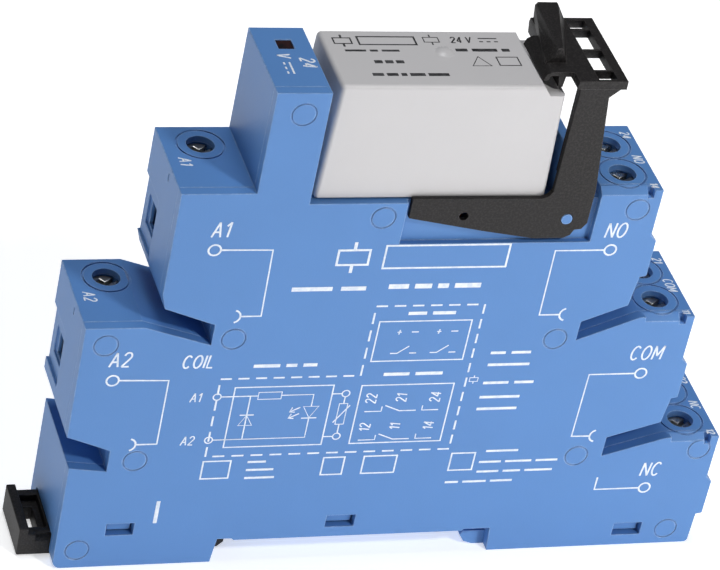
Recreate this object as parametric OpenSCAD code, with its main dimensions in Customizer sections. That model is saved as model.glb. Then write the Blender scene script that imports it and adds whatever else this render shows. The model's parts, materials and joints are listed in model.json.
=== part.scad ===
// Plug-in relay on a slim stepped socket for a 35 mm rail.
// X runs along the rail's width, +Y points to the closed back of the housing and +Z away from the rail.
// The origin is the centre of the flat seat that rests on the rail.

/* [Socket housing] */
// Width of the socket along the rail
width = 14; // [14:0.1:14.4]
// Thickness of the snap-on side cover
cover_t = 1.4; // [1.3:0.05:1.5]
// Thickness of the outer walls
wall = 1.2; // [1:0.1:1.3]
// Height of the deck that the relay stands on
deck_z = 52.6; // [52.5:0.1:52.7]
// Height of the indicator tower
tower_z = 68.5; // [68:0.1:69]
// Height of the pillar beside the relay
pillar_z = 60.3; // [58:0.1:62]

/* [Terminals] */
// Radius of the screwdriver hole
access_r = 1.75; // [1.7:0.05:1.8]
// Radius of the terminal screw's shank
screw_r = 1.5; // [1.4:0.05:1.5]
// Radial clearance between the screw and its clamp
thread_gap = 0.05; // [0.03:0.01:0.1]

/* [Lever] */
// Thickness of the lever's side plate
lever_t = 0.7; // [0.6:0.05:0.7]
// Lift of the relay for each radian of lever swing
lift_rate = 12; // [10:0.5:12]
// Radial clearance of the lever on its pivot
pivot_gap = 0.08; // [0.03:0.01:0.1]

/* [Relay] */
// Height of the relay cover above its base
relay_h = 16; // [15.6:0.1:16]
// Wall thickness of the relay cover
case_t = 0.8; // [0.6:0.05:0.8]
// Radius of the coil's iron core
core_r = 2; // [1.8:0.1:2]

/* [Hidden] */
$fn = 48;
e = 0.05;
half_w = width / 2;
front_y = -half_w;
seam_y = front_y + cover_t;
inner_y = half_w - wall;
foot_z = -3.5;
rail_x = 18.5;
seat = [-16.3, 14.6];
left_x = -39.6;
right_x = 47.4;
notch_left = [-34.7, -24.4];
notch_right = [23.5, 31.5];
recess = [-3.1, 21.75];
recess_y = front_y + 0.85;
recess_z = 46.5;
tower = [-22.4, -15.6];
pillar = [15.8, 18.5];
pivot = [17.95, 49.9];
pivot_r = 0.8;
lift_x = -lift_rate;
lift_z = 2.92;
swing = 12;
lug_y = [front_y + 0.75, front_y + 2.25];
lug_slot = [3.6, 9.4];

// Each tier: outer wall in X, height of its top, and the side that its wires enter from
tiers = [[-31.7, 54.2, -1], [-40.5, 34.5, -1], [29.8, 54.2, 1], [39, 34.5, 1], [47.5, 14.6, 1]];
bevel_x = [recess[1] - 1, 32.3, 40.8];
// Each terminal: name, tier, screw in X, screw in Y, and the relay pin that its bar leads to
terminals = [
  ["a1", 0, -26.9, 3.3, 0],
  ["a2", 1, -35.7, 3.3, 0],
  ["no_front", 2, 25.6, -3.2, 12.7],
  ["no_back", 2, 25.6, 2.9, 12.7],
  ["com_front", 3, 34.8, -3.2, 7.7],
  ["com_back", 3, 34.8, 2.9, 7.7],
  ["nc_front", 4, 43.3, -3.2, 2.7],
  ["nc_back", 4, 43.3, 2.9, 2.7]
];
// The two poles of the relay: name and side
poles = [["front", -1], ["back", 1]];
nc_x = 2.7;
com_x = 7.7;
no_x = 12.7;
coil_x = -11.3;
pin_y = 3.75;
pin_half = [0.3, 0.4];
pin_low = 49.4;
bar_drop = 9.4;
bar_t = 0.8;
entry_drop = 10.85;
clamp_drop = [13.3, 6.9];
pocket_drop = [13.6, 4.2];
clamp_half = [2.5, 2.3];
pocket_y = 2.45;
head_r = 1.85;
head_drop = [2.6, 1];
fork_z = [47.2, 51.1];

relay_z = deck_z + 0.3;
relay_x = [-14.85, 14.7];
relay_y = 6.1;
relay_top = relay_z + relay_h;
relay_draft = 0.6;
seal_r = 2.2;
step_x = 11.1;
step_z = relay_top - 1.4;
base_top = relay_z + 1.2;
coil_z = 57.6;
hinge = [2.3, 62];
blade_z = 54.9;
card_z = [66, 66.6];
contact_z = 63.5;
contact_r = 0.8;
blade_y = 3.6;

snap_windows = [[-33.4, -29.8, 1.6, 3.5], [-4.4, -0.5, 1.6, 3.5], [36.1, 40.1, -1.8, 0.2]];
ring_marks = [
  [-18.6, 65.5], [-5.9, 50.5], [27, 51.3], [-37.6, 31.9], [-21.7, 32.5], [-31.3, 13.7],
  [-36.7, -0.6], [20.6, 31.4], [27.9, 12.1], [45.1, 12.5], [43.7, -1]
];

housing_blue = [0.36, 0.55, 0.8];
relay_grey = [0.8, 0.8, 0.82];
lever_black = [0.2, 0.18, 0.18];
metal = [0.75, 0.76, 0.78];
copper = [0.8, 0.5, 0.3];
iron = [0.55, 0.56, 0.58];

// A block between two opposite corners
module block(low, high) {
  translate(low)
    cube(high - low);
}

// A side-view outline in X and Z, made solid between two places in Y
module slab(y0, y1) {
  translate([0, y1, 0])
    rotate([90, 0, 0])
      linear_extrude(y1 - y0)
        children();
}

// A round bar along Y
module rod_y(x, z, r, y0, y1) {
  slab(y0, y1)
    translate([x, z])
      circle(r);
}

// A round bar along X
module rod_x(y, z, r, x0, x1) {
  translate([x0, y, z])
    rotate([0, 90, 0])
      cylinder(r = r, h = x1 - x0);
}

function arc(c, r, a0, a1, n) = [for (i = [0 : n]) let (a = a0 + (a1 - a0) * i / n) c + r * [cos(a), sin(a)]];

// The stepped wall of a right-hand tier, with its proud wire collar
function collar(tier) = [
  [tier[0], tier[1]],
  [tier[0], tier[1] - 6.9],
  [tier[0] + 0.85, tier[1] - 7.7],
  [tier[0] + 0.85, tier[1] - 13.1],
  [tier[0], tier[1] - 13.3]
];

// Side view of the housing from the left foot over the tiers to the right foot and the rail seat
function outline() = concat(
  arc([left_x + 1.2, foot_z + 1.2], 1.2, 270, 180, 4),
  [[left_x, 12.8], [notch_left[0], 12.1], [notch_left[0], 15.4], [tiers[1][0], 17.8]],
  [[tiers[1][0], tiers[1][1]], [-33.1, tiers[1][1]]],
  [[notch_left[1], 31.6], [notch_left[1], 34.7], [-31.1, 37.3], [tiers[0][0], 39.4]],
  [[tiers[0][0], tiers[0][1]], [tower[0], tiers[0][1]]],
  [[tower[0], tower_z], [tower[1], tower_z], [tower[1], deck_z]],
  [[recess[1], deck_z], [recess[1], tiers[2][1]]],
  collar(tiers[2]),
  [[29.3, 36.5], [notch_right[0], 34], [notch_right[0], 31.1], [31.5, tiers[3][1]]],
  collar(tiers[3]),
  [[38.5, 17.3], [notch_right[1], 15], [notch_right[1], 11.9], [40, tiers[4][1]]],
  collar(tiers[4]),
  arc([right_x - 0.6, foot_z + 0.6], 0.6, 0, -90, 3),
  [[rail_x + 0.3, foot_z], [rail_x, 0.3], [seat[1] + 0.3, 0.3], [seat[1], 0]],
  [[seat[0], 0], [seat[0] - 0.3, 0.3], [-rail_x, 0.3], [-rail_x - 0.4, foot_z]]
);

// Groove round the screwdriver places of a tier, the back one at y: a figure eight where there are two
module tier_groove(x, y, z, places) {
  translate([x, y, z - 0.25])
    difference() {
      groove_discs(3.1, 1, places);
      translate([0, 0, -1])
        groove_discs(2.85, 3, places);
    }
}

module groove_discs(r, h, places) {
  for (i = [0 : places - 1])
    translate([0, -6.1 * i, 0])
      cylinder(r = r, h = h);
}

module all_grooves() {
  for (i = [0, 1, 3, 5, 7])
    tier_groove(terminals[i][2], terminals[i][3], tiers[terminals[i][1]][1], i < 2 ? 1 : 2);
}

// Room for one terminal: clamp pocket, wire entry, screw head chamber and screwdriver hole
module terminal_room(t) {
  tier = tiers[t[1]];
  side = tier[2];
  x = t[2];
  y = t[3];
  z = tier[1];
  inner = x - side * 4;
  outer = tier[0] - side * wall;
  block([min(inner, outer), y - pocket_y, z - pocket_drop[0]], [max(inner, outer), y + pocket_y, z - pocket_drop[1]]);
  mouth = tier[0] + side * 2;
  block([min(x, mouth), y - 1.5, z - entry_drop - 1.8], [max(x, mouth), y + 1.5, z - entry_drop + 1.8]);
  funnel = tier[0] - side * 0.7;
  block([min(funnel, mouth), y - 2.2, z - entry_drop - 2.1], [max(funnel, mouth), y + 2.2, z - entry_drop + 2.1]);
  translate([x, y, z - pocket_drop[1] - e])
    cylinder(r = screw_r + 0.1, h = pocket_drop[1] - head_drop[0] + 2 * e);
  translate([x, y, z - head_drop[0] - e])
    cylinder(r = head_r + 0.1, h = head_drop[0] - head_drop[1] + 0.2);
  translate([x, y, z - head_drop[1]])
    cylinder(r = access_r, h = head_drop[1] + 1);
}

// Hollows behind the cover, between the outer walls
module hollows() {
  y0 = seam_y - 1;
  y1 = inner_y;
  block([-23.1, y0, 1.3], [22.2, y1, 51.2]);
  block([tower[0] + wall, y0, 50], [tower[1] - wall, y1, tower_z - wall]);
  block([-38.4, y0, 1.3], [-23, y1, 10.9]);
  block([-33.5, y0, 10.8], [-23, y1, 17.5]);
  block([-32.5, y0, 17.4], [-23, y1, 29.8]);
  block([22.1, y0, 16.6], [32, y1, 29.6]);
  block([22.1, y0, 1.3], [30.2, y1, 17]);
  block([30.1, y0, 1.3], [40, y1, 10.4]);
  block([20.2, y0, -2.3], [35, y1, 1.4]);
}

// Channel of the sliding rail foot, with its two guide grooves
module foot_channel() {
  block([left_x - 1, -4.7, foot_z - 1], [-rail_x + 1, 4.7, 0.2]);
  block([left_x + 0.2, -5.2, -2.25], [-rail_x + 1, 5.2, -1.15]);
}

module pin_slots() {
  for (x = [coil_x, nc_x, com_x, no_x], s = [-1, 1])
    block([x - 0.75, s * pin_y - 0.6, 51], [x + 0.75, s * pin_y + 0.6, deck_z + 1]);
}

// Recessed panel round a left-hand wire entry, with a small slot above it
module entry_panel(tier) {
  block([tier[0] - 1, 0.7, tier[1] - 15], [tier[0] + 0.4, half_w + 1, tier[1] - 6.5]);
  block([tier[0] - 1, -1.5, tier[1] - 2.1], [tier[0] + 0.4, -1.1, tier[1] - 1]);
}

// Bevel along the cover's top edge from x0 to x1, ending in a notch before the corner
module top_bevel(x0, x1, z) {
  translate([x0, front_y, z])
    rotate([90, 0, 90])
      linear_extrude(x1 - x0)
        polygon([[-1, -0.7], [0, -0.7], [1, 0], [1, 1], [-1, 1]]);
  block([x1, front_y - 1, z - 1.2], [x1 + 0.8, front_y + 1, z + 1]);
}

module housing_body() {
  color(housing_blue) {
    for (w = snap_windows)
      block([w[0] + 0.3, front_y + 0.8, w[2] + 0.3], [w[1] - 0.3, inner_y + 0.5, w[3] - 0.3]);
    difference() {
      union() {
        slab(seam_y, half_w)
          polygon(outline());
        slab(seam_y, half_w)
          polygon([
            [pillar[0], deck_z - 1], [pillar[1], deck_z - 1], [pillar[1], pillar_z - 2.1],
            [pillar[0] + 1.2, pillar_z - 2.1], [pillar[0], pillar_z]
          ]);
        slab(seam_y, half_w)
          polygon([
            [rail_x + 0.6, foot_z], [rail_x + 0.6, -1.25], [rail_x - 2.9, -1.25],
            [rail_x - 3.3, -1.9], [rail_x - 2.6, -3], [rail_x - 1.3, foot_z]
          ]);
      }
      hollows();
      for (t = terminals)
        terminal_room(t);
      foot_channel();
      pin_slots();
      block([lug_slot[0], seam_y - 1, 50], [lug_slot[1], -4.5, deck_z + 1]);
      all_grooves();
      for (i = [0, 1])
        entry_panel(tiers[i]);
      block([-19.8, 2.4, tower_z - 2], [-17.8, 4.4, tower_z + 1]);
    }
  }
}

module ring_groove(x, z) {
  difference() {
    rod_y(x, z, 1.6, front_y - 1, front_y + 0.12);
    rod_y(x, z, 1.42, front_y - 2, front_y + 1);
  }
}

module side_cover() {
  color(housing_blue) {
    difference() {
      slab(front_y, seam_y)
        polygon(outline());
      block([recess[0], front_y - 1, recess_z], [recess[1], recess_y, deck_z + 3]);
      block([lug_slot[0], front_y - 1, 48.6], [lug_slot[1], seam_y + 1, deck_z + 1]);
      for (w = snap_windows)
        block([w[0], front_y - 1, w[2]], [w[1], seam_y + 1, w[3]]);
      for (m = ring_marks)
        ring_groove(m[0], m[1]);
      for (i = [0 : 2])
        top_bevel(bevel_x[i], tiers[i + 2][0] - 1.9, tiers[i + 2][1]);
      all_grooves();
    }
    rod_y(pivot[0], pivot[1], pivot_r - pivot_gap, front_y + 0.05, recess_y + e);
  }
}

module led_lens() {
  color([0.2, 0.3, 0.5, 0.8]) {
    block([-19.75, 2.45, 67], [-17.85, 4.35, tower_z - 0.1]);
    block([-20.3, 1.9, 66.6], [-17.3, 4.9, 67.2]);
  }
}

// Sliding foot: gripping nose, guide flanges, spring slots, and a lip with a screwdriver slot
module rail_foot() {
  out = left_x - 4.1;
  color(lever_black)
    difference() {
      union() {
        block([out, -4.5, -3.2], [-rail_x + 0.2, 4.5, -0.05]);
        block([-35.8, -5.05, -2.1], [-20, 5.05, -1.3]);
        block([out, -4.5, -0.1], [out + 1.2, 4.5, 0.9]);
        slab(-4.5, 4.5)
          polygon([[-rail_x, -3.2], [-rail_x + 1.1, -3.2], [-rail_x + 1.9, -2.4], [-rail_x + 1.9, -1.3], [-rail_x, -1.3]]);
      }
      block([out + 1.6, -2.8, -4], [out + 3.1, 2.2, 1]);
      block([out + 1.6, -2.8, -1.1], [out + 3.9, 3.4, 1]);
      rod_x(-4.6, -0.05, 0.9, out + 2.2, left_x + 0.3);
      for (s = [-1, 1])
        block([-33, s * 2.5 - 0.3, -4], [-22.5, s * 2.5 + 0.3, 1]);
      block([-rail_x - 0.4, -6, -1.3], [0, 6, 1]);
    }
}

// Cam under the relay: an involute, so the relay rises evenly as the lever swings
function cam_point(t) = let (h = lift_z + lift_rate * t * PI / 180) pivot + [
  -h * sin(t) - lift_rate * cos(t),
  h * cos(t) - lift_rate * sin(t)
];

module lever_plate() {
  slab(front_y + 0.1, front_y + 0.1 + lever_t)
    polygon([
      [-2.6, 53.1], [14, 53], [14.8, 53.3], [15.3, 54], [15.45, 69.3], [15, 69.9],
      [21, 69.9], [20.9, 69.1], [20.1, 69], [19.5, 68.5], [19.3, 67.8],
      [20.8, 54.2], [20.8, 49.3], [20.2, 48.4], [19.3, 48.3], [18.9, 47.5], [18.1, 47.1],
      [14, 47.1], [7.7, 48.2], [2.3, 49.3], [-2.6, 50.3]
    ]);
  slab(front_y + 0.1, front_y + 1.3)
    polygon([[15.45, 56.5], [15.45, 69.3], [20.9, 69.3], [19.3, 67.8], [20.5, 56.5]]);
}

module lever_lug() {
  slab(front_y + 0.5, lug_y[1])
    polygon(concat(
      [for (i = [0 : 6]) cam_point(swing * i / 6)],
      [[4.8, 50.6], [8.6, 50], [8.6, pivot[1] + lift_z]]
    ));
}

// Top of the lever: label grid, finger tab, and the two ribs that hold the relay down
module lever_head() {
  difference() {
    union() {
      block([15, front_y, 69.05], [21.25, half_w, 70.2]);
      slab(-5, half_w)
        polygon([
          [15.2, 69.05], [15.2, 70.2], [13.2, 70.2], [13.1, 69.65], [13.3, 68.1], [13.85, 68.1],
          [14, 69.55], [14.6, 69.55]
        ]);
      slab(-5, 3)
        polygon([
          [15.1, 70.2], [12.2, 70.2], [11.5, 69.8], [11.2, 69], [11.75, 69], [12.1, 69.65], [15.1, 69.65]
        ]);
      hull() {
        slab(half_w - 0.6, half_w - 0.1)
          polygon([[13.5, 70.1], [13.3, 72.1], [13.6, 72.5], [16.1, 72.5], [17.5, 70.1]]);
        slab(-3, -2.6)
          polygon([[11.8, 70.1], [13.1, 72.2], [13.4, 72.3], [13.7, 72.2], [14.6, 70.1]]);
      }
    }
    rod_y(9.9, 72.9, 3.25, -4, half_w + 1);
    for (w = [[4.6, 6.5], [0.05, 4.3], [-4.45, -0.2], [-6.55, -4.7]])
      block([17.6, w[0], 68], [20, w[1], 71]);
  }
}

module retaining_lever() {
  color(lever_black)
    difference() {
      union() {
        lever_plate();
        lever_lug();
        lever_head();
      }
      rod_y(pivot[0], pivot[1], pivot_r, front_y - 1, half_w);
      rod_y(4.4, 50.5, 0.6, front_y - 1, front_y + 2);
    }
}

// Upright board in the back of the housing, reaching up into the tower
module circuit_board() {
  color([0.15, 0.4, 0.2])
    difference() {
      slab(4.7, 5.7)
        polygon([[-22.5, 8], [-3, 8], [-3, 46], [-17, 46], [-17, 65], [-21, 65], [-21, 46], [-22.5, 46]]);
      for (x = [-20, -6])
        rod_y(x, 11, 0.8, 4, 6);
    }
}

module led() {
  color([0.4, 0.9, 0.5]) {
    block([-19.7, 2.6, 63.2], [-17.9, 4.6, 64.6]);
    translate([-18.8, 3.5, 64.6])
      cylinder(r = 0.85, h = 0.7);
    translate([-18.8, 3.5, 65.3])
      sphere(r = 0.85);
  }
}

// A leaded component along X with its two legs bent to the board
module leaded(z, r, length) {
  x = -13;
  rod_x(3.5, z, r, x - length / 2, x + length / 2);
  rod_x(3.5, z, 0.25, x - length / 2 - 1.5, x + length / 2 + 1.5);
  for (s = [-1, 1])
    rod_y(x + s * (length / 2 + 1.4), z, 0.25, 3.4, 4.65);
}

module resistor() {
  color([0.75, 0.65, 0.5])
    leaded(34, 1, 6);
}

module diode() {
  color([0.15, 0.15, 0.15])
    leaded(28, 1.1, 4.6);
}

module varistor() {
  color([0.2, 0.35, 0.7]) {
    rod_y(-12, 19, 3, 1.9, 3.9);
    for (s = [-1, 1])
      rod_y(-12 + s * 2, 18, 0.25, 3.8, 4.65);
  }
}

// Spring fork that grips a relay pin, standing at x and y
module fork(x, y) {
  gap = pin_half[0] + 0.05;
  block([x - gap - 0.4, y - 0.6, fork_z[0]], [x + gap + 0.4, y + 0.6, fork_z[0] + 0.6]);
  for (s = [-1, 1])
    translate([x + s * (gap + 0.2), y, (fork_z[0] + fork_z[1]) / 2])
      cube([0.4, 1.2, fork_z[1] - fork_z[0]], center = true);
}

module coil_socket_front() {
  color(metal) {
    fork(coil_x, -pin_y);
    block([coil_x - 0.3, -pin_y - 0.6, 40], [coil_x + 0.3, -pin_y + 0.6, fork_z[0] + 0.3]);
    block([coil_x - 0.3, -pin_y - 0.6, 40], [coil_x + 0.3, 4.6, 41.2]);
  }
}

module coil_socket_back() {
  color(metal) {
    fork(coil_x, pin_y);
    block([coil_x - 0.3, pin_y - 0.5, 43], [coil_x + 0.3, 4.6, fork_z[0] + 0.3]);
  }
}

// Captive cheese-head screw with a cross and straight slot
module screw(t) {
  z = tiers[t[1]][1];
  shank = bar_drop - bar_t - head_drop[0] - 0.05;
  color(metal)
    translate([t[2], t[3], z])
      difference() {
        union() {
          translate([0, 0, -head_drop[0]])
            cylinder(r = head_r, h = head_drop[0] - head_drop[1] - 0.1);
          translate([0, 0, -head_drop[0] - shank])
            cylinder(r = screw_r, h = shank + 0.1);
        }
        translate([0, 0, -head_drop[1]])
          rotate([0, 0, 35]) {
            cube([4, 0.6, 1.6], center = true);
            cube([0.6, 2.4, 2], center = true);
          }
      }
}

// Box clamp: the screw draws it up so that its floor presses the wire against the bar
module clamp(t) {
  z = tiers[t[1]][1];
  color(metal)
    translate([t[2], t[3], z])
      difference() {
        block(
          [-clamp_half[0], -clamp_half[1], -clamp_drop[0]],
          [clamp_half[0], clamp_half[1], -clamp_drop[1]]
        );
        block([-3, -1.75, -clamp_drop[0] + 1], [3, 1.75, -bar_drop + bar_t + 0.1]);
        translate([0, 0, -clamp_drop[1] - 3])
          cylinder(r = screw_r + thread_gap, h = 4);
      }
}

// Bus bar: through the clamp, then up to the fork under its relay pin, or to the circuit board
module bus_bar(t) {
  tier = tiers[t[1]];
  z = tier[1] - bar_drop;
  far = t[2] + tier[2] * 2.2;
  side = sign(t[3]);
  color(copper)
    if (t[4] == 0) {
      block([far, t[3] - 1.3, z], [-21, t[3] + 1.3, z + bar_t]);
      block([-21.6, t[3] - 1.3, z - 2], [-21, t[3] + 1.3, z + bar_t]);
    } else {
      block([t[4] - 0.3, t[3] - 1.5, z], [far, t[3] + 1.5, z + bar_t]);
      block([t[4] - 0.3, t[3] - 1.2, z], [t[4] + 0.3, t[3] + 1.2, fork_z[0] + 0.3]);
      block([t[4] - 0.3, min(t[3], side * pin_y), fork_z[0]], [t[4] + 0.3, max(t[3], side * pin_y), fork_z[0] + 0.6]);
      fork(t[4], side * pin_y);
    }
}

module relay_shell() {
  r = 0.6;
  x = [relay_x[0] + r, relay_x[1] - r];
  hull()
    for (i = [0, 1], s = [-1, 1]) {
      lean = i == 0 ? relay_draft : -relay_draft;
      translate([x[i], s * (relay_y - r), relay_z])
        cylinder(r = r, h = 1, $fn = 24);
      translate([x[i] + lean, s * (relay_y - r), relay_top - r])
        sphere(r = r, $fn = 24);
    }
}

module relay_case() {
  color(relay_grey) {
    difference() {
      union() {
        relay_shell();
        translate([0.6, 1.2, relay_top - seal_r + 0.4])
          sphere(r = seal_r);
      }
      block([relay_x[0] + 1, -relay_y + case_t - 0.1, relay_z - 1], [step_x - 0.5, relay_y - case_t + 0.1, relay_top - 1]);
      block([0, -relay_y + case_t - 0.1, relay_z - 1], [relay_x[1] - 1.3, relay_y - case_t + 0.1, step_z - 0.8]);
      slab(-half_w, half_w)
        polygon([[step_x, relay_top + 0.02], [step_x + 1, step_z], [16, step_z], [16, relay_top + 1], [step_x, relay_top + 1]]);
    }
  }
}

module relay_base() {
  x0 = relay_x[0] + 1.1;
  x1 = relay_x[1] - 1.4;
  color([0.25, 0.26, 0.28])
    difference() {
      union() {
        block([x0, -5.3, relay_z + 0.05], [x1, 5.3, base_top]);
        for (x = [x0 + 1, x1 - 1], s = [-1, 1])
          translate([x, s * 2, deck_z + 0.03])
            cylinder(r = 0.6, h = 0.5);
        block([4, -5, base_top - 0.1], [4.6, 5, 65]);
        block([4.5, -0.3, base_top - 0.1], [13, 0.3, 65]);
      }
      for (x = [coil_x, nc_x, com_x, no_x], s = [-1, 1])
        block(
          [x - pin_half[0] - 0.03, s * pin_y - pin_half[1] - 0.03, relay_z - 1],
          [x + pin_half[0] + 0.03, s * pin_y + pin_half[1] + 0.03, base_top + 1]
        );
      for (s = [-1, 1])
        block([3.5, s * blade_y - 1, base_top], [5, s * blade_y + 1, base_top + 0.4]);
    }
}

// One flat pin under the relay
module pin(x, s, top) {
  block([x - pin_half[0], s * pin_y - pin_half[1], pin_low], [x + pin_half[0], s * pin_y + pin_half[1], top]);
}

module coil_pins() {
  color(metal)
    for (s = [-1, 1])
      pin(coil_x, s, 55.6);
}

module bobbin() {
  color([0.9, 0.88, 0.8])
    difference() {
      union() {
        rod_x(0, coil_z, core_r + 0.4, -12.2, 0.3);
        for (x = [-12.5, -0.1])
          block([x, -4.5, base_top + 0.05], [x + 0.65, 4.5, 61.05]);
      }
      rod_x(0, coil_z, core_r + 0.05, -14, 2);
    }
}

module coil_winding() {
  color(copper)
    difference() {
      rod_x(0, coil_z, 3.1, -11.75, -0.2);
      rod_x(0, coil_z, core_r + 0.45, -13, 2);
    }
}

module core() {
  color(iron) {
    rod_x(0, coil_z, core_r, -13.7, 1);
    rod_x(0, coil_z, core_r + 0.6, 0.65, 1.25);
  }
}

module yoke() {
  color(iron)
    difference() {
      union() {
        block([-13.7, -4.2, base_top + 0.1], [-12.6, 4.2, 62.35]);
        block([-13.7, -4.2, 61.2], [1.75, 4.2, 62.35]);
      }
      rod_x(0, coil_z, core_r + 0.03, -15, -12);
    }
}

module armature() {
  color(iron)
    difference() {
      block([1.85, -4.2, 54.6], [2.75, 4.2, 66.7]);
      block([1, -1.6, 62.2], [4, 1.6, 63]);
    }
}

module armature_spring() {
  color(metal) {
    block([-7, -1.3, 62.4], [3.25, 1.3, 62.6]);
    block([3.05, -1.3, 59.5], [3.25, 1.3, 62.6]);
  }
}

module actuator_card() {
  color([0.9, 0.9, 0.85])
    difference() {
      block([2.83, -5, card_z[0]], [8.8, 5, card_z[1]]);
      for (s = [-1, 1])
        block([com_x - 0.2, s * blade_y - 1.2, 65], [com_x + 0.2, s * blade_y + 1.2, 67]);
    }
}

module moving_blade(s) {
  y = s * blade_y;
  color(copper) {
    block([com_x - 0.12, y - 1.1, blade_z + 0.05], [com_x + 0.12, y + 1.1, 66.85]);
    rod_x(y, contact_z, contact_r, com_x - 0.52, com_x + 0.52);
  }
}

module common_pin(s) {
  color(metal) {
    pin(com_x, s, base_top + 0.2);
    block([com_x - 0.5, s * blade_y - 0.9, base_top + 0.03], [com_x + 0.5, s * blade_y + 0.9, blade_z - 0.05]);
  }
}

// Fixed contact on a bent strip: its pin at x, its riser at strip_x, its button facing the blade
module fixed_contact(s, x, strip_x, face_x) {
  y = s * blade_y;
  foot = [min(x - pin_half[0], strip_x), max(x + pin_half[0], strip_x + 0.25)];
  color(copper) {
    pin(x, s, base_top + 0.2);
    block([foot[0], y - 0.9, base_top + 0.03], [foot[1], y + 0.9, base_top + 0.28]);
    block([strip_x, y - 0.9, base_top + 0.03], [strip_x + 0.25, y + 0.9, 64.4]);
    rod_x(y, contact_z, contact_r, min(face_x, strip_x), max(face_x, strip_x + 0.1));
  }
}

housing_body();
side_cover();
led_lens();
rail_foot();
retaining_lever();
circuit_board();
led();
resistor();
diode();
varistor();
coil_socket_front();
coil_socket_back();
for (t = terminals) {
  screw(t);
  clamp(t);
  bus_bar(t);
}
relay_case();
relay_base();
coil_pins();
bobbin();
coil_winding();
core();
yoke();
armature();
armature_spring();
actuator_card();
for (p = poles) {
  moving_blade(p[1]);
  common_pin(p[1]);
  fixed_contact(p[1], nc_x, 6.05, 7.12);
  fixed_contact(p[1], no_x, 9.2, 8.58);
}
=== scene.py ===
import json
import math
import bmesh
import bpy
from mathutils import Matrix, Vector


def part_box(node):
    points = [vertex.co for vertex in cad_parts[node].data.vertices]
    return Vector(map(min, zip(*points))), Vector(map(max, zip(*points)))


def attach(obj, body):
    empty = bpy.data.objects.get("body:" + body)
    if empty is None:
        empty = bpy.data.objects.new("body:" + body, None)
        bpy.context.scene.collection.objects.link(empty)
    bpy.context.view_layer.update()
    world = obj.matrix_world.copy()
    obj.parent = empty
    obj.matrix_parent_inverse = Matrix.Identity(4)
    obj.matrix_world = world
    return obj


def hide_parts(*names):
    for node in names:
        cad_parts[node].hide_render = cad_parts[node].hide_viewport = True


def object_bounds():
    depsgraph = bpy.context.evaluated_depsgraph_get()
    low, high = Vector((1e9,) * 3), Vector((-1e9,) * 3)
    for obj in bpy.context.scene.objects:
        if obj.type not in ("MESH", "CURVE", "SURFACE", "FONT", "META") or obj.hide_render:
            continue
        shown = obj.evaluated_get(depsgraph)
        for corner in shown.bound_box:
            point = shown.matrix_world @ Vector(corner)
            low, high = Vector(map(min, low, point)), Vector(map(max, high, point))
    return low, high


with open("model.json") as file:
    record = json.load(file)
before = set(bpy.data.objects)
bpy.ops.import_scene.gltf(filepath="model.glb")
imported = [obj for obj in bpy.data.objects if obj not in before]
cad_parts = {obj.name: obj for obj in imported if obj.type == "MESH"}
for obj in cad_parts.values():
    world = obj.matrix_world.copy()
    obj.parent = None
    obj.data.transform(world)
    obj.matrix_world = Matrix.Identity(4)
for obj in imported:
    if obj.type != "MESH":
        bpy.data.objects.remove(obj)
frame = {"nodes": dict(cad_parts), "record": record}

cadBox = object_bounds()
mm = 0.001
nodes = frame["nodes"]
slots = {part["node"]: part["material_slot"] for part in frame["record"]["subparts"]}
terminals = [name.removeprefix("screw_") for name in sorted(nodes) if name.startswith("screw_")]
print("frame loaded:", len(nodes), "nodes")

# places in millimetres, the roll in degrees, the nearest distance in metres
camera = {
    "place": (-147.07, -336.08, 290.63),
    "aim": (-6.98, -7.0, 40.43),
    "roll": 12.72,
    "lens": 179.46,
    "sensor": 36.0,
    "nearest": 0.01,
}


def makeCamera():
    eye = Vector(camera["place"]) * mm
    look = Vector(camera["aim"]) * mm - eye
    lens = bpy.data.cameras.new("camera")
    lens.lens = camera["lens"]
    lens.sensor_width = camera["sensor"]
    lens.clip_start = camera["nearest"]
    shot = bpy.data.objects.new("camera", lens)
    turn = look.to_track_quat("-Z", "Y").to_matrix().to_4x4()
    roll = Matrix.Rotation(math.radians(camera["roll"]), 4, "Z")
    shot.matrix_world = Matrix.Translation(eye) @ turn @ roll
    bpy.context.scene.collection.objects.link(shot)
    bpy.context.scene.camera = shot


# places and sizes in metres, power in watts
lights = {
    "key": {"place": (0.30, -0.46, 0.60), "size": 0.10, "power": 2.30, "colour": (1.0, 0.985, 0.96)},
    "fill": {"place": (-0.50, -0.50, 0.30), "size": 0.60, "power": 0.14, "colour": (0.96, 0.98, 1.0)},
    "top": {"place": (-0.05, 0.10, 0.75), "size": 0.35, "power": 2.5, "colour": (0.97, 0.985, 1.0)},
    "sheen": {"place": (0.20, -0.22, 0.00), "size": 0.12, "power": 0.60, "colour": (1.0, 0.99, 0.98)},
    "low": {"place": (-0.34, -0.10, 0.06), "size": 0.20, "power": 0.06, "colour": (1.0, 1.0, 1.0)},
}


def makeLights():
    middle = (cadBox[0] + cadBox[1]) / 2
    for name, look in lights.items():
        lamp = bpy.data.lights.new(name, "AREA")
        lamp.shape = "DISK"
        lamp.size = look["size"]
        lamp.energy = look["power"]
        lamp.color = look["colour"]
        shade = bpy.data.objects.new(name, lamp)
        shade.location = look["place"]
        shade.rotation_mode = "QUATERNION"
        shade.rotation_quaternion = (middle - Vector(look["place"])).to_track_quat("-Z", "Y")
        shade.visible_camera = False
        bpy.context.scene.collection.objects.link(shade)


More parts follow.
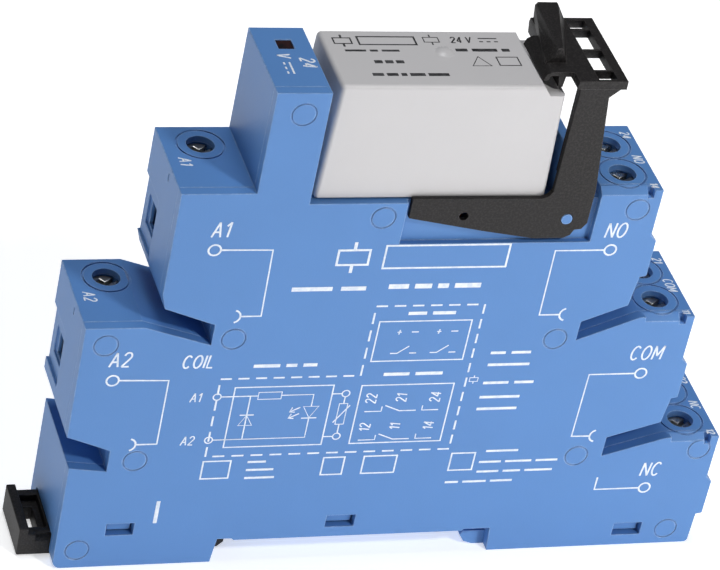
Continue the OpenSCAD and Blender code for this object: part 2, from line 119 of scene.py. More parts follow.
class Wire:
    # one output of a material's nodes: sums and products of wires add their Math nodes
    def __init__(self, tree, socket=None):
        self.tree = tree
        self.socket = socket

    def node(self, kind, settings=None, values=None, output=0):
        made = self.tree.nodes.new(kind)
        for key, value in (settings or {}).items():
            setattr(made, key, value)
        for key, value in (values or {}).items():
            if isinstance(value, Wire):
                self.tree.links.new(value.socket, made.inputs[key])
            else:
                made.inputs[key].default_value = value
        return Wire(self.tree, made.outputs[output])

    def maths(self, operation, *values, clamp=False):
        settings = {"operation": operation, "use_clamp": clamp}
        return self.node("ShaderNodeMath", settings, dict(enumerate(values)))

    def __add__(self, other):
        return self.maths("ADD", self, other)

    def __radd__(self, other):
        return self.maths("ADD", other, self)

    def __sub__(self, other):
        return self.maths("SUBTRACT", self, other)

    def __rsub__(self, other):
        return self.maths("SUBTRACT", other, self)

    def __mul__(self, other):
        return self.maths("MULTIPLY", self, other)

    def __rmul__(self, other):
        return self.maths("MULTIPLY", other, self)

    def clip(self):
        return self.maths("ADD", self, 0.0, clamp=True)

    def between(self, low, high):
        limits = {"From Min": low, "From Max": high, "Value": self}
        return self.node("ShaderNodeMapRange", {"interpolation_type": "SMOOTHSTEP"}, limits)

    def mix(self, first, second):
        # this wire is the share of the second colour
        return self.node("ShaderNodeMix", {"data_type": "RGBA"}, {0: self, 6: first, 7: second}, 2)


def colour4(shade, factor=1.0):
    return tuple(min(1.0, part * factor) for part in shade[:3]) + (1.0,)


def startMaterial(name, fixed):
    # fixed: the sockets of the shader that hold one value all over the surface
    material = bpy.data.materials.new(name)
    material.use_nodes = True
    tree = material.node_tree
    shader = tree.nodes["Principled BSDF"]
    for key, value in fixed.items():
        shader.inputs[key].default_value = value
    return material, shader, Wire(tree)


def feed(shader, **wires):
    for key, wire in wires.items():
        wire.tree.links.new(wire.socket, shader.inputs[key.replace("_", " ")])


def noise(wire, scale, detail=2.0, roughness=0.5, stretch=None):
    place = wire.node("ShaderNodeTexCoord", output="Object")
    if stretch:
        place = wire.node("ShaderNodeMapping", {}, {"Vector": place, "Scale": stretch})
    values = {"Vector": place, "Scale": scale, "Detail": detail, "Roughness": roughness}
    return wire.node("ShaderNodeTexNoise", {}, values)


def roundedNormal(wire, radius):
    return wire.node("ShaderNodeBevel", {"samples": 4}, {"Radius": radius})


def edgeMask(wire, rounded, gain):
    # how far the rounded normal leans away from the surface: high along edges and corners
    flat = wire.node("ShaderNodeNewGeometry", output="Normal")
    lean = wire.node("ShaderNodeVectorMath", {"operation": "DOT_PRODUCT"}, {0: rounded, 1: flat}, "Value")
    return ((1 - lean) * gain).clip()


def bumped(wire, height, strength, depth, rounded=None):
    values = {"Strength": strength, "Distance": depth, "Height": height}
    if rounded:
        values["Normal"] = rounded
    return wire.node("ShaderNodeBump", {}, values)


# moulded plastics: colours are linear, grain is a noise scale, depth and radius are in metres; the lighter
# edge colour is partly rubbed wear and partly a painted highlight along edges and corners
plastics = {
    "housing_blue": {
        "colour": (0.088, 0.228, 0.525), "drift": 0.05, "speck": 0.05, "shine": 0.42,
        "roughness": 0.47, "roughDrift": 0.07, "grain": 5200.0, "depth": 0.000010,
        "wearAndHighlight": (0.46, 0.63, 0.88), "wearAndHighlightShare": 0.75, "radius": 0.00022,
    },
    "relay_grey": {
        "colour": (0.560, 0.551, 0.562), "drift": 0.03, "speck": 0.02, "shine": 0.5,
        "roughness": 0.36, "roughDrift": 0.08, "grain": 3800.0, "depth": 0.000005,
        "wearAndHighlight": (0.85, 0.84, 0.85), "wearAndHighlightShare": 0.25, "radius": 0.00020,
    },
    "lever_black": {
        "colour": (0.0100, 0.0090, 0.0092), "drift": 0.18, "speck": 0.8, "shine": 0.26,
        "roughness": 0.52, "roughDrift": 0.08, "grain": 4200.0, "depth": 0.000016,
        "wearAndHighlight": (0.11, 0.10, 0.10), "wearAndHighlightShare": 0.55, "radius": 0.00018,
    },
    "base_dark": {
        "colour": (0.030, 0.032, 0.036), "drift": 0.12, "speck": 0.20, "shine": 0.4,
        "roughness": 0.45, "roughDrift": 0.06, "grain": 4200.0, "depth": 0.000008,
        "wearAndHighlight": (0.10, 0.10, 0.11), "wearAndHighlightShare": 0.4, "radius": 0.00012,
    },
    "bobbin_white": {
        "colour": (0.70, 0.66, 0.55), "drift": 0.05, "speck": 0.04, "shine": 0.4,
        "roughness": 0.40, "roughDrift": 0.06, "grain": 4200.0, "depth": 0.000005,
        "wearAndHighlight": (0.85, 0.83, 0.76), "wearAndHighlightShare": 0.3, "radius": 0.00012,
    },
}
# what all the plastics share: noise scales, the noise levels where marks begin and end, and strengths
plasticSkin = {
    "ior": 1.50,
    "clouds": 90.0,
    "fleckShare": 0.9, "fleckLevels": (0.42, 0.68), "fleckGlow": 2.2,
    "edgePatches": 700.0, "edgePatchLevels": (0.42, 0.62), "leastWearAndHighlight": 0.45,
    "edgeGain": 7.0,
}


def makePlastic(name, look):
    skin = plasticSkin
    material, shader, wire = startMaterial(name, {"IOR": skin["ior"], "Specular IOR Level": look["shine"]})
    cloud = noise(wire, skin["clouds"], 3.0)
    grain = noise(wire, look["grain"], 2.0, 0.6)
    flecks = noise(wire, look["grain"] * skin["fleckShare"], 2.0, 0.6).between(*skin["fleckLevels"])
    rounded = roundedNormal(wire, look["radius"])
    edgePatches = noise(wire, skin["edgePatches"], 4.0, 0.65).between(*skin["edgePatchLevels"])
    patchyEdgeShare = skin["leastWearAndHighlight"] + (1 - skin["leastWearAndHighlight"]) * edgePatches
    # lighter colour along edges and corners, in patches: partly rubbed wear, partly a painted highlight
    # standing in for light catching the rounded edges
    wearAndHighlight = edgeMask(wire, rounded, skin["edgeGain"]) * patchyEdgeShare * look["wearAndHighlightShare"]
    dark = colour4(look["colour"], 1 - look["drift"])
    pale = colour4(look["colour"], 1 + look["drift"])
    fleck = colour4(look["colour"], 1.0 + skin["fleckGlow"] * look["speck"])
    specked = (flecks * look["speck"]).clip().mix(cloud.mix(dark, pale), fleck)
    shade = wearAndHighlight.clip().mix(specked, colour4(look["wearAndHighlight"]))
    rough = look["roughness"] + (cloud - 0.5) * look["roughDrift"] + (grain - 0.5) * look["roughDrift"]
    bump = bumped(wire, grain, 1.0, look["depth"], rounded)
    feed(shader, Base_Color=shade, Roughness=rough.clip(), Normal=bump)
    return material


# metals: streaks along one axis, by how each axis is stretched, and a little tarnish in the clouds
metals = {
    "zinc_steel": {
        "colour": (0.62, 0.62, 0.60), "tarnish": (0.36, 0.35, 0.33),
        "roughness": 0.26, "stretch": (1, 1, 1), "scale": 2600.0,
    },
    "copper_alloy": {
        "colour": (0.72, 0.44, 0.22), "tarnish": (0.45, 0.24, 0.12),
        "roughness": 0.28, "stretch": (1, 1, 12), "scale": 900.0,
    },
    "soft_iron": {
        "colour": (0.46, 0.47, 0.49), "tarnish": (0.30, 0.30, 0.31),
        "roughness": 0.34, "stretch": (1, 9, 1), "scale": 1100.0,
    },
}
metalSkin = {
    "clouds": 320.0, "cloudLevels": (0.40, 0.72), "cloudRough": 0.10,
    "edgeRadius": 0.00008, "edgeGain": 3.0, "edgeShare": 0.6, "edgeGlow": 1.25,
    "streakRough": 0.16, "streakBump": 0.6, "depth": 0.000010,
}


def makeMetal(name, look):
    skin = metalSkin
    material, shader, wire = startMaterial(name, {"Metallic": 1.0})
    cloud = noise(wire, skin["clouds"], 4.0, 0.6).between(*skin["cloudLevels"])
    streak = noise(wire, look["scale"], 2.0, 0.6, look["stretch"])
    rounded = roundedNormal(wire, skin["edgeRadius"])
    edge = edgeMask(wire, rounded, skin["edgeGain"])
    shade = cloud.mix(colour4(look["colour"]), colour4(look["tarnish"]))
    bright = (edge * skin["edgeShare"]).clip().mix(shade, colour4(look["colour"], skin["edgeGlow"]))
    rough = look["roughness"] + (streak - 0.5) * skin["streakRough"] + cloud * skin["cloudRough"]
    bump = bumped(wire, streak, skin["streakBump"], skin["depth"], rounded)
    feed(shader, Base_Color=bright, Roughness=rough.clip(), Normal=bump)
    return material


# printed ink, laminate and the small glossy parts
coats = {
    "inkWhite": {
        "colour": (0.80, 0.84, 0.90), "second": (0.62, 0.70, 0.82),
        "roughness": 0.55, "coat": 0.0, "scale": 1500.0,
    },
    "inkBlack": {
        "colour": (0.016, 0.016, 0.018), "second": (0.06, 0.06, 0.065),
        "roughness": 0.50, "coat": 0.0, "scale": 1500.0,
    },
    "board_green": {
        "colour": (0.030, 0.150, 0.055), "second": (0.015, 0.085, 0.035),
        "roughness": 0.35, "coat": 0.3, "scale": 500.0,
    },
    "component": {
        "colour": (0.030, 0.035, 0.050), "second": (0.075, 0.085, 0.110),
        "roughness": 0.30, "coat": 0.5, "scale": 700.0,
    },
    "led_clear": {
        "colour": (0.42, 0.80, 0.45), "second": (0.55, 0.90, 0.58),
        "roughness": 0.15, "coat": 0.6, "scale": 500.0,
    },
    "clear_blue": {
        "colour": (0.004, 0.003, 0.005), "second": (0.030, 0.008, 0.009),
        "roughness": 0.16, "coat": 0.3, "scale": 900.0,
    },
}
coatSkin = {"coatRoughness": 0.12, "levels": (0.35, 0.70), "roughDrift": 0.15, "bump": 0.5, "depth": 0.000006}


def makeCoat(name, look):
    fixed = {"Coat Weight": look["coat"], "Coat Roughness": coatSkin["coatRoughness"]}
    material, shader, wire = startMaterial(name, fixed)
    cloud = noise(wire, look["scale"], 3.0, 0.6)
    shade = cloud.between(*coatSkin["levels"]).mix(colour4(look["colour"]), colour4(look["second"]))
    rough = look["roughness"] + (cloud - 0.5) * coatSkin["roughDrift"]
    bump = bumped(wire, cloud, coatSkin["bump"], coatSkin["depth"])
    feed(shader, Base_Color=shade, Roughness=rough.clip(), Normal=bump)
    return material


# enamelled wire: one groove for each turn along the bobbin
winding = {
    "colour": (0.42, 0.13, 0.035), "second": (0.62, 0.24, 0.08),
    "roughness": 0.28, "roughDrift": 0.1, "coat": 0.5, "scale": 600.0,
    "turns": 1600.0, "wobble": 0.4, "turnShare": 0.7, "depth": 0.00004,
}


def makeWinding(name, look):
    fixed = {"Coat Weight": look["coat"], "Coat Roughness": coatSkin["coatRoughness"]}
    material, shader, wire = startMaterial(name, fixed)
    place = wire.node("ShaderNodeTexCoord", output="Object")
    values = {"Vector": place, "Scale": look["turns"], "Distortion": look["wobble"]}
    turns = wire.node("ShaderNodeTexWave", {"bands_direction": "X"}, values)
    cloud = noise(wire, look["scale"], 2.0)
    share = turns * look["turnShare"] + cloud * (1 - look["turnShare"])
    shade = share.clip().mix(colour4(look["colour"]), colour4(look["second"]))
    rough = look["roughness"] + cloud * look["roughDrift"]
    feed(shader, Base_Color=shade, Roughness=rough.clip(), Normal=bumped(wire, turns, 1.0, look["depth"]))
    return material


finishes = {name: makePlastic(name, look) for name, look in plastics.items()}
finishes.update({name: makeMetal(name, look) for name, look in metals.items()})
finishes.update({name: makeCoat(name, look) for name, look in coats.items()})
finishes["coil_wire"] = makeWinding("coil_wire", winding)
print("finishes made:", len(finishes))

room = {
    "floorSize": 4.0,
    "floorColour": (0.93, 0.93, 0.935),
    "floorShade": 0.99,
    "floorClouds": 30.0,
    "floorRoughness": 0.85,
    "floorShine": 0.2,
    "floorGlow": 0.54,
    "horizon": (0.93, 0.94, 0.96),
    "zenith": (0.30, 0.32, 0.36),
    "skyLevels": (0.02, 0.75),
    "strength": 0.14,
}


def makeWorld():
    world = bpy.data.worlds.new("studio")
    world.use_nodes = True
    wire = Wire(world.node_tree)
    direction = wire.node("ShaderNodeTexCoord", output="Generated")
    height = wire.node("ShaderNodeSeparateXYZ", {}, {"Vector": direction}, "Z")
    shade = height.between(*room["skyLevels"]).mix(colour4(room["horizon"]), colour4(room["zenith"]))
    background = world.node_tree.nodes["Background"]
    background.inputs["Strength"].default_value = room["strength"]
    world.node_tree.links.new(shade.socket, background.inputs["Color"])
    bpy.context.scene.world = world
    bpy.context.scene.view_settings.view_transform = "Standard"


def makeFloor():
    form = bmesh.new()
    bmesh.ops.create_grid(form, x_segments=1, y_segments=1, size=room["floorSize"] / 2)
    mesh = bpy.data.meshes.new("floor")
    form.to_mesh(mesh)
    form.free()
    material, shader, wire = startMaterial("floorPaper", {
        "Roughness": room["floorRoughness"],
        "Specular IOR Level": room["floorShine"],
        "Emission Color": (1.0, 1.0, 1.0, 1.0),
        "Emission Strength": room["floorGlow"],
    })
    dull = colour4(room["floorColour"], room["floorShade"])
    feed(shader, Base_Color=noise(wire, room["floorClouds"]).mix(dull, colour4(room["floorColour"])))
    mesh.materials.append(material)
    floor = bpy.data.objects.new("floor", mesh)
    floor.location.z = cadBox[0].z
    bpy.context.scene.collection.objects.link(floor)


def paintNodes():
    for name, node in nodes.items():
        node.data.materials.clear()
        node.data.materials.append(finishes[slots[name]])


# weld is in metres; smaller angles than flat are dissolved, and larger ones than sharp stay sharp
meshing = {"weld": 0.000002, "flat": 0.3, "sharp": 32}


def mergedCopy(node):
    form = bmesh.new()
    form.from_mesh(nodes[node].data)
    bmesh.ops.remove_doubles(form, verts=form.verts, dist=meshing["weld"])
    flat = math.radians(meshing["flat"])
    bmesh.ops.dissolve_limit(form, angle_limit=flat, verts=form.verts, edges=form.edges)
    return form


def convexEdges(form, angle, shortest):
    limit = math.radians(angle)
    shared = [edge for edge in form.edges if len(edge.link_faces) == 2]
    convex = [edge for edge in shared if edge.calc_face_angle_signed() > limit]
    return [edge for edge in convex if edge.calc_length() > shortest * mm]


def placePiece(form, name, body, finish):
    mesh = bpy.data.meshes.new(name)
    form.to_mesh(mesh)
    form.free()
    mesh.shade_smooth()
    mesh.set_sharp_from_angle(angle=math.radians(meshing["sharp"]))
    mesh.materials.append(finishes[finish])
    piece = bpy.data.objects.new(name, mesh)
    bpy.context.scene.collection.objects.link(piece)
    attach(piece, body)
    return piece


def softenedPiece(form, edges, look, node, name, body):
    bmesh.ops.bevel(
        form, geom=edges, offset=look["width"] * mm, offset_type="OFFSET", segments=look["segments"],
        profile=0.5, affect="EDGES", clamp_overlap=True, material=-1,
    )
    piece = placePiece(form, name, body, slots[node])
    even = piece.modifiers.new("even", "WEIGHTED_NORMAL")
    even.keep_sharp = True
    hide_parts(node)


# bevelled copies of the moulded nodes: width and shortest are in millimetres, and edges
# shorter than shortest, such as those round holes, stay sharp
mouldings = {
    "housing_body": {
        "piece": "socketShell", "body": "socket",
        "width": 0.20, "shortest": 0.55, "angle": 40, "segments": 2,
    },
    "side_cover": {
        "piece": "printedCover", "body": "socket",
        "width": 0.20, "shortest": 0.55, "angle": 40, "segments": 2,
    },
    "relay_case": {
        "piece": "relayCover", "body": "relay",
        "width": 0.18, "shortest": 0.50, "angle": 40, "segments": 2,
    },
    "retaining_lever": {
        "piece": "holdingLever", "body": "lever",
        "width": 0.10, "shortest": 0.40, "angle": 40, "segments": 2,
    },
    "rail_foot": {
        "piece": "slidingFoot", "body": "foot",
        "width": 0.16, "shortest": 0.50, "angle": 40, "segments": 2,
    },
}


def makeMouldings():
    for node, look in mouldings.items():
        form = mergedCopy(node)
        edges = convexEdges(form, look["angle"], look["shortest"])
        softenedPiece(form, edges, look, node, look["piece"], look["body"])
        print("moulding made:", look["piece"], len(edges), "edges")


# only the edges within rim of the head's top are softened
screwLook = {"width": 0.09, "shortest": 0.0, "angle": 50, "segments": 2, "rim": 0.01}


def makeScrews():
    for terminal in terminals:
        node = "screw_" + terminal
        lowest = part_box(node)[1].z - screwLook["rim"] * mm
        form = mergedCopy(node)
        convex = convexEdges(form, screwLook["angle"], screwLook["shortest"])
        edges = [edge for edge in convex if min(vert.co.z for vert in edge.verts) > lowest]
        softenedPiece(form, edges, screwLook, node, "screwHead." + terminal, node)
    print("screws made:", len(terminals))


# printing is thin raised ink, drawn flat in millimetres and laid on a face
# narrow, lean and gap shape the letters, as shares of their height; step is in degrees
ink = {"height": 0.03, "stroke": 0.25, "fine": 0.17, "narrow": 0.8, "lean": 0.14, "gap": 0.28, "step": 24}
medium = ink["stroke"]
fine = ink["fine"]


def oval(x, y, across, high, start, end):
    steps = max(4, round(abs(end - start) / ink["step"]))
    angles = [math.radians(start + (end - start) * i / steps) for i in range(steps + 1)]
    return [(x + across * math.cos(angle), y + high * math.sin(angle)) for angle in angles]


# single-stroke letters one unit high: each is its width and its runs
letters = {
    "A": (0.62, [[(0, 0), (0.31, 1)], [(0.31, 1), (0.62, 0)], [(0.11, 0.34), (0.51, 0.34)]]),
    "C": (0.58, [oval(0.31, 0.5, 0.31, 0.5, 45, 315)]),
    "O": (0.64, [oval(0.32, 0.5, 0.32, 0.5, 0, 360)]),
    "I": (0.0, [[(0, 0), (0, 1)]]),
    "L": (0.46, [[(0, 1), (0, 0), (0.46, 0)]]),
    "N": (0.56, [[(0, 0), (0, 1)], [(0, 1), (0.56, 0)], [(0.56, 0), (0.56, 1)]]),
    "M": (0.66, [
        [(0, 0), (0, 1)], [(0, 1), (0.33, 0.25)], [(0.33, 0.25), (0.66, 1)], [(0.66, 1), (0.66, 0)],
    ]),
    "V": (0.60, [[(0, 1), (0.3, 0)], [(0.3, 0), (0.6, 1)]]),
    "1": (0.24, [[(0, 0.74), (0.24, 1)], [(0.24, 1), (0.24, 0)]]),
    "2": (0.52, [oval(0.26, 0.74, 0.26, 0.26, 170, -20) + [(0, 0)], [(0, 0), (0.54, 0)]]),
    "4": (0.56, [[(0.42, 0), (0.42, 1)], [(0.42, 1), (0, 0.28)], [(0, 0.28), (0.58, 0.28)]]),
    "+": (0.50, [[(0, 0.5), (0.5, 0.5)], [(0.25, 0.25), (0.25, 0.75)]]),
}


class Sheet:
    # one printed piece: every mark goes into the same mesh
    def __init__(self, origin, right, up):
        across = Vector(right)
        away = Vector(up)
        turn = Matrix((across, away, across.cross(away))).transposed().to_4x4()
        self.form = bmesh.new()
        self.place = Matrix.Translation(Vector(origin)) @ turn @ Matrix.Scale(mm, 4)

    def take(self, curve, flatten):
        holder = bpy.data.objects.new("drawing", curve)
        bpy.context.scene.collection.objects.link(holder)
        seen = holder.evaluated_get(bpy.context.evaluated_depsgraph_get())
        mesh = bpy.data.meshes.new_from_object(seen)
        mesh.transform(self.place @ Matrix.Diagonal((1.0, 1.0, flatten, 1.0)))
        self.form.from_mesh(mesh)
        bpy.data.objects.remove(holder)
        bpy.data.curves.remove(curve)
        bpy.data.meshes.remove(mesh)

    def lines(self, runs, width, closed=False):
        curve = bpy.data.curves.new("run", "CURVE")
        curve.dimensions = "3D"
        curve.bevel_depth = width / 2
        curve.bevel_resolution = 1
        curve.use_fill_caps = True
        curve.twist_mode = "Z_UP"
        for points in runs:
            spline = curve.splines.new("POLY")
            spline.points.add(len(points) - 1)
            for point, (x, y) in zip(spline.points, points):
                point.co = (x, y, 0.0, 1.0)
            spline.use_cyclic_u = closed
        self.take(curve, 2 * ink["height"] / width)

    def outline(self, corners, width):
        x0, y0, x1, y1 = corners
        self.lines([[(x0, y0), (x1, y0), (x1, y1), (x0, y1)]], width, True)

    def ring(self, x, y, radius, width, start=0, end=360):
        whole = end - start == 360
        points = oval(x, y, radius, radius, start, end)
        self.lines([points[:-1] if whole else points], width, whole)

    def dashes(self, corners, dash, gap, width):
        runs = []
        share = dash / (dash + gap)
        for start, end in zip(corners, corners[1:] + corners[:1]):
            side = Vector(end) - Vector(start)
            count = max(1, round(side.length / (dash + gap)))
            step = side / count
            for i in range(count):
                first = Vector(start) + step * i
                runs.append([tuple(first), tuple(first + step * share)])
        self.lines(runs, width)

    def bars(self, x, y, lengths, gap, width):
        # plain bars in place of a line of wording
        runs = []
        for length in lengths:
            runs.append([(x, y), (x + length, y)])
            x += length + gap
        self.lines(runs, width)

    def text(self, word, x, y, height, width, turn=0.0):
        # the middle of the word is at x, y
        start = -(sum(letters[letter][0] for letter in word) + ink["gap"] * (len(word) - 1)) / 2
        cosine = math.cos(math.radians(turn))
        sine = math.sin(math.radians(turn))
        runs = []
        for letter in word:
            wide, strokes = letters[letter]
            for stroke in strokes:
                run = []
                for u, v in stroke:
                    across = ((start + u) * ink["narrow"] + ink["lean"] * (v - 0.5)) * height
                    away = (v - 0.5) * height
                    run.append((x + across * cosine - away * sine, y + across * sine + away * cosine))
                runs.append(run)
            start += wide + ink["gap"]
        self.lines(runs, width)

    def finish(self, name, body, slot, finish):
        bmesh.ops.remove_doubles(self.form, verts=self.form.verts, dist=meshing["weld"] / 2)
        bmesh.ops.recalc_face_normals(self.form, faces=self.form.faces)
        placePiece(self.form, name, body, finish)


coilShape = {"high": 0.55, "lead": 1.15}  # shares of the box's half width
directShape = {"half": 0.35, "dashes": 3}  # half the gap between the full line and the dashed one


def coilSign(sheet, x, y, half, width):
    # the general sign for a relay coil: a box with a lead above and below
    high = half * coilShape["high"]
    lead = half * coilShape["lead"]
    sheet.outline((x - half, y - high, x + half, y + high), width)
    sheet.lines([[(x, y + high), (x, y + lead)], [(x, y - high), (x, y - lead)]], width)


def directSign(sheet, x, y, length, width):
    # direct current: a full line over a dashed one
    part = length / (2 * directShape["dashes"] - 1)
    above = y + directShape["half"]
    below = y - directShape["half"]
    runs = [[(x, above), (x + length, above)]]
    for i in range(directShape["dashes"]):
        runs.append([(x + 2 * i * part, below), (x + (2 * i + 1) * part, below)])
    sheet.lines(runs, width)


def drawMarks(sheet, marks):
    # the last number of each mark is its stroke
    for mark in marks.get("texts", []):
        sheet.text(*mark)  # word, middle x and y, height
    for mark in marks.get("coils", []):
        coilSign(sheet, *mark)  # middle x and y, half width
    for mark in marks.get("directs", []):
        directSign(sheet, *mark)  # left end x and y, length
    for mark in marks.get("outlines", []):
        sheet.outline(*mark)  # two corners
    for mark in marks.get("rings", []):
        sheet.ring(*mark)  # middle x and y, radius
    for mark in marks.get("bars", []):
        sheet.bars(*mark)  # left end x and y, lengths, gap
    for runs, width in marks.get("runs", []):
        sheet.lines(runs, width)
    for loops, width in marks.get("loops", []):
        sheet.lines(loops, width, True)


# the terminal signs on the cover: where the text and its ring are, the lead's corners from the ring
# on, and the side of the lead's end that its cup is on, if it has one
signs = {
    "A1": {
        "at": (-25.9, 49.0), "ring": (-26.3, 46.0), "cup": -1,
        "lead": [(-19.0, 45.9), (-18.8, 35.95), (-21.4, 35.95)],
    },
    "A2": {
        "at": (-35.4, 29.7), "ring": (-36.0, 26.5), "cup": -1,
        "lead": [(-28.9, 26.3), (-28.9, 16.3), (-31.6, 16.3)],
    },
    "NO": {
        "at": (25.0, 48.2), "ring": (24.8, 45.2), "cup": 1,
        "lead": [(17.5, 45.2), (17.6, 35.25), (20.3, 35.25)],
    },
    "COM": {
        "at": (33.8, 28.8), "ring": (33.7, 25.5), "cup": 1,
        "lead": [(26.6, 25.5), (26.5, 15.4), (29.0, 15.35)],
    },
    "NC": {
        "at": (39.1, 9.4), "ring": (38.9, 6.25), "cup": 0,
        "lead": [(31.8, 6.25), (31.8, 8.3)],
    },
}
signShape = {"height": 2.15, "ring": 0.78, "cup": 0.95, "cupAngle": 75}


def printSign(sheet, word, sign):
    sheet.text(word, *sign["at"], signShape["height"], medium)
    x, z = sign["ring"]
    sheet.ring(x, z, signShape["ring"], medium)
    side = 1 if sign["lead"][0][0] > x else -1
    sheet.lines([[(x + side * signShape["ring"], z)] + sign["lead"]], medium)
    if sign["cup"]:
        endX, endZ = sign["lead"][-1]
        middle = 0 if sign["cup"] < 0 else 180
        cupX = endX + sign["cup"] * signShape["cup"]
        ends = (middle - signShape["cupAngle"], middle + signShape["cupAngle"])
        sheet.ring(cupX, endZ, signShape["cup"], medium, *ends)


# a resistor in series with a light-emitting diode, a diode across them and a varistor outside the box
circuit = {
    "outlines": [
        ((-20.2, 15.4, -7.4, 24.9), medium),
        ((-17.0, 22.95, -14.0, 24.05), fine),
        ((-6.15, 18.6, -5.05, 21.9), fine),
    ],
    "texts": [("A1", -25.0, 23.5, 1.35, fine), ("A2", -25.0, 16.65, 1.35, fine)],
    "rings": [
        (-22.3, 23.5, 0.5, fine), (-5.6, 23.5, 0.5, fine),
        (-22.3, 16.65, 0.5, fine), (-5.6, 16.65, 0.5, fine),
    ],
    "runs": [([
        [(-21.8, 23.5), (-20.2, 23.5)], [(-7.4, 23.5), (-6.1, 23.5)],  # stubs to the rings
        [(-21.8, 16.65), (-20.2, 16.65)], [(-7.4, 16.65), (-6.1, 16.65)],
        [(-5.6, 23.0), (-5.6, 21.9)], [(-5.6, 17.15), (-5.6, 18.6)],  # the varistor's leads and slash
        [(-6.5, 18.9), (-4.7, 21.6)],
        [(-20.2, 23.5), (-17.0, 23.5)],  # through the resistor and down the light-emitting diode
        [(-14.0, 23.5), (-9.8, 23.5), (-9.8, 21.6)],
        [(-10.8, 19.75), (-8.8, 19.75)],
        [(-9.8, 19.8), (-9.8, 16.65), (-20.2, 16.65)],
        [(-11.2, 21.5), (-12.5, 20.8)], [(-11.8, 20.75), (-12.5, 20.8), (-12.2, 21.5)],  # its two arrows
        [(-11.2, 20.5), (-12.5, 19.8)], [(-11.8, 19.75), (-12.5, 19.8), (-12.2, 20.5)],
        [(-18.0, 23.5), (-18.0, 16.65)], [(-18.9, 20.5), (-17.1, 20.5)],  # the diode
    ], fine)],
    "loops": [([
        [(-10.8, 21.6), (-8.8, 21.6), (-9.8, 19.8)],
        [(-18.9, 18.85), (-17.1, 18.85), (-18.0, 20.45)],
    ], fine)],
}

# two changeover contacts with their pin numbers, and a solid-state switch above
contacts = {
    "box": (-3.7, 15.4, 8.5, 24.7),
    "height": 1.35,
    "rows": [(22.6, ("22", "21", "24")), (18.0, ("12", "11", "14"))],
    "columns": (-2.1, 1.9, 6.4),
    "turn": 90,
    "drop": 2.1,  # from the numbers down to their contact
    "changeover": [
        [(-2.6, 0), (-0.4, 0), (-0.4, 0.75)], [(2.0, 0), (0.0, 0.9)],
        [(2.0, 0), (4.2, 0)], [(7.2, 0), (5.0, 0), (5.0, 0.75)],
    ],
    "switchBox": (-3.3, 28.5, 8.8, 34.7),
    "switches": [(-1.0, 29.7), (4.2, 29.7)],
    "switch": [[(0, 0), (0.9, 0), (2.3, 1.1)], [(2.5, 0), (3.4, 0)], [(2.2, 3.3), (3.1, 3.3)]],
    "plus": (0.6, 3.3),
}


def moved(runs, x, y):
    return [[(x + u, y + v) for u, v in run] for run in runs]


def printContacts(sheet):
    sheet.outline(contacts["box"], medium)
    for z, numbers in contacts["rows"]:
        for x, number in zip(contacts["columns"], numbers):
            sheet.text(number, x, z, contacts["height"], fine, contacts["turn"])
        sheet.lines(moved(contacts["changeover"], 0, z - contacts["drop"]), fine)
    sheet.outline(contacts["switchBox"], medium)
    plusX, plusZ = contacts["plus"]
    for x, z in contacts["switches"]:
        sheet.lines(moved(contacts["switch"], x, z), fine)
        sheet.text("+", x + plusX, z + plusZ, contacts["height"], fine)


# the cover's other marks: plain bars and outlines stand where a maker prints names and ratings
coverPrint = {
    "dashed": [(-22.3, 26.3), (-4.2, 26.3), (-4.2, 37.1), (10.0, 37.1), (10.0, 14.0), (-22.3, 14.0)],
    "dash": 1.5,
    "gap": 0.9,
    "texts": [("COIL", -25.5, 29.1, 1.9, medium)],
    "coils": [(-8.6, 44.6, 2.0, 0.42), (11.0, 25.2, 0.55, 0.16)],
    "outlines": [
        ((-4.6, 42.9, 11.4, 46.3), 0.36),
        ((-22.4, 10.4, -18.8, 13.2), 0.30), ((-6.6, 10.4, -3.8, 13.2), 0.30),
        ((-1.2, 10.4, 3.2, 13.2), 0.30), ((10.6, 10.4, 13.8, 13.2), 0.30),
    ],
    "bars": [
        (0.2, 35.9, (2.4, 3.0), 0.8, 0.5), (-1.2, 26.4, (3.4, 3.6), 0.8, 0.5),
        (-15.6, 39.9, (5.2, 3.2), 1.1, 0.62), (-3.2, 40.1, (2.6, 2.2, 1.4, 3.4), 0.8, 0.72),
        (-18.4, 28.2, (3.4, 1.4, 1.8), 0.8, 0.5),
        (12.4, 29.4, (2.0, 2.6), 0.8, 0.42), (12.4, 27.5, (5.6,), 0.8, 0.42),
        (12.4, 24.6, (3.4, 2.6), 0.8, 0.42), (12.4, 22.3, (5.4,), 0.8, 0.42),
        (12.4, 20.4, (5.4,), 0.8, 0.42),
        (-16.6, 12.9, (2.4,), 0.8, 0.34), (-16.6, 11.6, (3.6,), 0.8, 0.34),
        (-16.6, 10.3, (3.9,), 0.8, 0.34),
        (15.2, 13.4, (4.4,), 0.6, 0.34), (14.6, 11.6, (3.0, 3.6, 3.0), 0.6, 0.34),
        (14.6, 10.0, (3.0, 2.4, 3.8), 0.6, 0.34), (10.6, 8.4, (1.8, 3.2, 3.0), 0.6, 0.34),
    ],
    "runs": [([[(-27.2, 3.4), (-27.2, 7.0)]], 0.5)],
}


def printCover():
    sheet = Sheet((0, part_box("side_cover")[0].y, 0), (1, 0, 0), (0, 0, 1))
    for word, sign in signs.items():
        printSign(sheet, word, sign)
    sheet.dashes(coverPrint["dashed"], coverPrint["dash"], coverPrint["gap"], medium)
    drawMarks(sheet, circuit)
    printContacts(sheet)
    drawMarks(sheet, coverPrint)
    sheet.finish("coverPrint", "socket", "housing_blue", "inkWhite")
    print("cover printed")


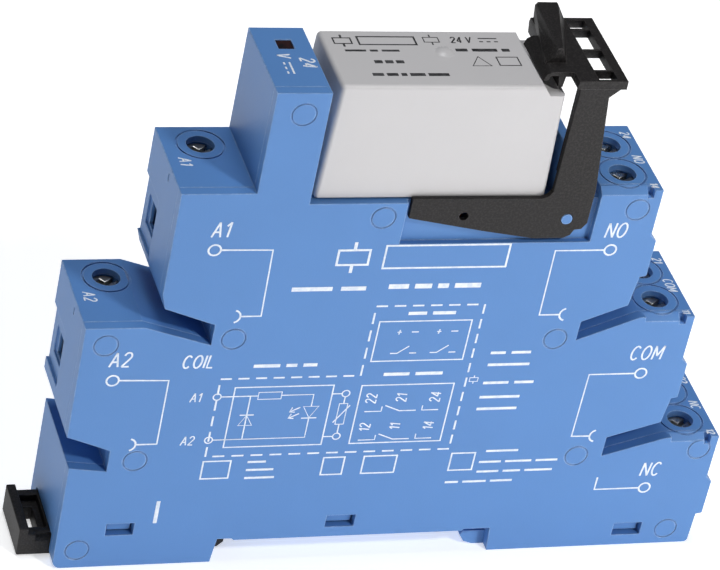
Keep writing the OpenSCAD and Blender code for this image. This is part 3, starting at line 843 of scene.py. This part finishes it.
# the marks on the steps' tops read from the back to the front of the module
# drop is how far the head of a screw lies below the top of its step, in millimetres
topPrint = {
    "drop": 1.1,
    "stroke": 0.2,
    "marks": {
        "a1": [("A1", 0.3, -2.7, 1.5)],
        "a2": [("A2", 0.6, -2.9, 1.5)],
        "no_back": [("24", -4.9, 3.2, 1.15), ("NO", 0.4, 3.1, 1.25), ("14", 6.0, 3.3, 1.0)],
        "com_back": [("21", -4.9, 3.2, 1.15), ("COM", 0.4, 3.1, 1.25), ("11", 6.0, 3.3, 1.0)],
        "nc_back": [("22", -4.9, 3.2, 1.15), ("NC", 0.4, 3.1, 1.25), ("12", 6.0, 3.3, 1.0)],
    },
}
towerPrint = {
    "texts": [("24", 0.6, 1.9, 1.7, medium), ("V", -0.9, -0.8, 1.6, medium)],
    "directs": [(0.5, -0.8, 2.4, 0.24)],
}


def printTops():
    for terminal, marks in topPrint["marks"].items():
        low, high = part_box("screw_" + terminal)
        middle = (low + high) / 2
        sheet = Sheet((middle.x, 0, high.z + topPrint["drop"] * mm), (0, -1, 0), (1, 0, 0))
        for mark in marks:
            sheet.text(*mark, topPrint["stroke"])
        sheet.finish("topPrint." + terminal, "socket", "housing_blue", "inkWhite")
    low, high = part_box("led_lens")
    middle = (low + high) / 2
    sheet = Sheet((middle.x, 0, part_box("housing_body")[1].z), (0, -1, 0), (1, 0, 0))
    drawMarks(sheet, towerPrint)
    sheet.finish("towerPrint", "socket", "housing_blue", "inkWhite")
    print("tops printed")


# seal is how far the sealing dot on the relay stands over its printed face, in millimetres
relayPrint = {
    "seal": 0.4,
    "coils": [(-11.6, 3.6, 1.1, 0.28), (-0.3, 3.9, 0.95, 0.2)],
    "texts": [("24", 2.9, 3.9, 1.2, 0.2), ("V", 4.5, 3.9, 1.2, 0.2)],
    "directs": [(5.8, 3.9, 2.4, 0.22)],
    "outlines": [((-9.6, 2.8, -2.4, 4.5), 0.34), ((6.9, -1.6, 9.6, 0.2), 0.24)],
    "bars": [
        (-11.8, 1.5, (2.6, 1.0, 2.2), 0.5, 0.42),
        (2.2, 1.7, (1.5, 3.2, 1.0), 0.6, 0.62),
        (-8.8, -0.9, (1.0, 1.0, 1.0), 0.35, 0.66),
        (-9.8, -3.6, (1.4, 1.4, 0.7, 1.9, 2.6), 0.4, 0.62),
    ],
    "loops": [([[(3.4, -1.7), (5.8, -1.7), (4.6, 0.3)]], 0.22)],
}


def printRelay():
    low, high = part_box("relay_case")
    middle = (low + high) / 2
    sheet = Sheet((middle.x, 0, high.z - relayPrint["seal"] * mm), (1, 0, 0), (0, 1, 0))
    drawMarks(sheet, relayPrint)
    sheet.finish("relayPrint", "relay", "relay_grey", "inkBlack")
    print("relay printed")


makeCamera()
makeLights()
makeWorld()
makeFloor()
print("studio made")
paintNodes()
makeMouldings()
makeScrews()
printCover()
printTops()
printRelay()
